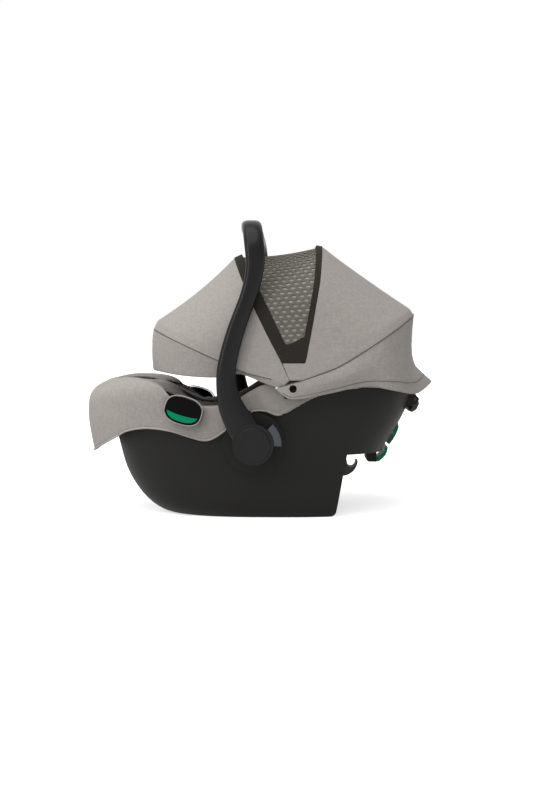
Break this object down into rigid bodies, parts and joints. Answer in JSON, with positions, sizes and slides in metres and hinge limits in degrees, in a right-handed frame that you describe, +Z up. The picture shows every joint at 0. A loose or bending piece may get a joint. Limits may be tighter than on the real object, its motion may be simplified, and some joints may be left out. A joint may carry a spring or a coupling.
{
  "type": "infant car seat",
  "caption": "Rear-facing infant car seat: moulded carrier shell, swinging carry handle, folding canopy with mesh window, padded liner and harness.",
  "frame": {"origin": "on the floor, midway along and across the seat", "axes": "+Z up, +X towards the head end, -Y towards the seated child's left; mirror plane y = 0"},
  "size_m": [0.6722, 0.439, 0.5496],
  "materials": {
    "shell_plastic": "matte",
    "handle_plastic": "satin",
    "black_plastic": "matte",
    "bow_plastic": "matte",
    "gloss_black": "gloss",
    "green_plastic": "satin",
    "button_plastic": "satin",
    "red_plastic": "satin",
    "grip_rubber": "matte",
    "steel": "satin",
    "foam": "matte",
    "fabric": "matte",
    "canopy_fabric": "matte",
    "pad_fabric": "matte",
    "mesh": "matte",
    "webbing": "matte"
  },
  "bodies": {
    "seat_shell": {"outer_shell": "shell_plastic", "foam_liner": "foam", "seat_pad": "fabric", "body_insert": "fabric", "head_pillow": "fabric", "seat_cover": "fabric", "shoulder_belt_hook_upper": "green_plastic", "shoulder_belt_hook_lower": "green_plastic", "handle_pivot_nuts": "steel", "canopy_rear_bow": "bow_plastic", "canopy_rear_panel": "canopy_fabric", "canopy_skirt": "canopy_fabric", "front_lock_bar": "steel", "rear_lock_bar": "steel", "latch_spring": "steel", "release_lever_pin": "steel", "buckle_housing": "black_plastic", "crotch_strap": "webbing", "harness_yoke": "steel", "harness_adjuster": "black_plastic", "adjuster_strap": "webbing", "lap_belt_ear_left": "gloss_black", "lap_belt_hook_left": "green_plastic", "handle_pivot_pin_left": "steel", "canopy_mount_left": "black_plastic", "canopy_pivot_cap_left": "gloss_black", "buckle_tongue_left": "steel", "shoulder_strap_left": "webbing", "shoulder_pad_left": "pad_fabric", "chest_clip_left": "black_plastic", "lap_belt_ear_right": "gloss_black", "lap_belt_hook_right": "green_plastic", "handle_pivot_pin_right": "steel", "canopy_mount_right": "black_plastic", "canopy_pivot_cap_right": "gloss_black", "buckle_tongue_right": "steel", "shoulder_strap_right": "webbing", "shoulder_pad_right": "pad_fabric", "chest_clip_right": "black_plastic"},
    "handle": {"handle_frame": "handle_plastic", "handle_grip": "grip_rubber", "handle_hub_cap_left": "handle_plastic", "handle_hub_cap_right": "handle_plastic", "handle_spring_left": "steel", "handle_spring_right": "steel"},
    "handle_button_l": {"handle_button_left": "button_plastic"},
    "handle_button_r": {"handle_button_right": "button_plastic"},
    "lock_gear_l": {"handle_lock_gear_left": "black_plastic"},
    "lock_gear_r": {"handle_lock_gear_right": "black_plastic"},
    "mid_rear_bow": {"canopy_mid_rear_bow": "bow_plastic", "canopy_window": "mesh"},
    "mid_front_bow": {"canopy_mid_front_bow": "bow_plastic", "canopy_front_panel": "canopy_fabric"},
    "front_bow": {"canopy_front_bow": "bow_plastic", "canopy_visor": "canopy_fabric"},
    "latch_bolt": {"base_latch_bolt": "black_plastic"},
    "lever": {"release_lever": "black_plastic"},
    "harness_button": {"buckle_button": "red_plastic"},
    "adjuster_press": {"adjuster_button": "black_plastic"}
  },
  "joints": [
    {"name": "handle_turn", "type": "hinge", "parent": "seat_shell", "child": "handle", "pos_m": [-0.0106, 0, 0.145], "axis": [0, 1, 0], "range_deg": [0, 105]},
    {"name": "canopy_rear_fold", "type": "hinge", "parent": "seat_shell", "child": "mid_rear_bow", "pos_m": [0.0608, 0, 0.2447], "axis": [0, 1, 0], "range_deg": [0, 38], "deforming": ["canopy_rear_panel"]},
    {"name": "canopy_window_fold", "type": "hinge", "parent": "mid_rear_bow", "child": "mid_front_bow", "pos_m": [0.0608, 0, 0.2447], "axis": [0, 1, 0], "range_deg": [0, 26], "deforming": ["canopy_window"]},
    {"name": "canopy_front_fold", "type": "hinge", "parent": "mid_front_bow", "child": "front_bow", "pos_m": [0.0608, 0, 0.2447], "axis": [0, 1, 0], "range_deg": [0, 33], "deforming": ["canopy_front_panel"]},
    {"name": "release_lever_pull", "type": "hinge", "parent": "seat_shell", "child": "lever", "pos_m": [0.29513, 0, 0.218], "axis": [0, -1, 0], "range_deg": [0, 20], "stiffness_Nm_per_rad": 1.5, "springref_deg": -8.59},
    {"name": "latch_slide", "type": "slide", "parent": "seat_shell", "child": "latch_bolt", "axis": [-1, 0, 0], "range_m": [0, 0.014], "deforming": ["latch_spring"]},
    {"name": "buckle_press", "type": "slide", "parent": "seat_shell", "child": "harness_button", "axis": [0, 0, -1], "range_m": [0, 0.003], "stiffness_N_per_m": 900, "springref_m": -0.003},
    {"name": "adjuster_press_in", "type": "slide", "parent": "seat_shell", "child": "adjuster_press", "axis": [-0.562, 0, -0.8272], "range_m": [0, 0.003], "stiffness_N_per_m": 900, "springref_m": -0.003},
    {"name": "handle_button_left_press", "type": "slide", "parent": "handle", "child": "handle_button_l", "axis": [0, 1, 0], "range_m": [0, 0.005], "stiffness_N_per_m": 700, "springref_m": -0.004, "deforming": ["handle_spring_left"]},
    {"name": "lock_gear_left_slide", "type": "slide", "parent": "seat_shell", "child": "lock_gear_l", "axis": [0, 1, 0], "range_m": [0, 0.005]},
    {"name": "handle_button_right_press", "type": "slide", "parent": "handle", "child": "handle_button_r", "axis": [0, -1, 0], "range_m": [0, 0.005], "stiffness_N_per_m": 700, "springref_m": -0.004, "deforming": ["handle_spring_right"]},
    {"name": "lock_gear_right_slide", "type": "slide", "parent": "seat_shell", "child": "lock_gear_r", "axis": [0, -1, 0], "range_m": [0, 0.005]}
  ],
  "couplings": [
    {"joint": "canopy_window_fold", "follows": "canopy_rear_fold", "ratio": 0.684},
    {"joint": "canopy_front_fold", "follows": "canopy_rear_fold", "ratio": 0.868},
    {"joint": "latch_slide", "follows": "release_lever_pull", "m_per_rad": 0.04},
    {"joint": "lock_gear_left_slide", "follows": "handle_button_left_press", "ratio": 1},
    {"joint": "lock_gear_right_slide", "follows": "handle_button_right_press", "ratio": 1}
  ]
}
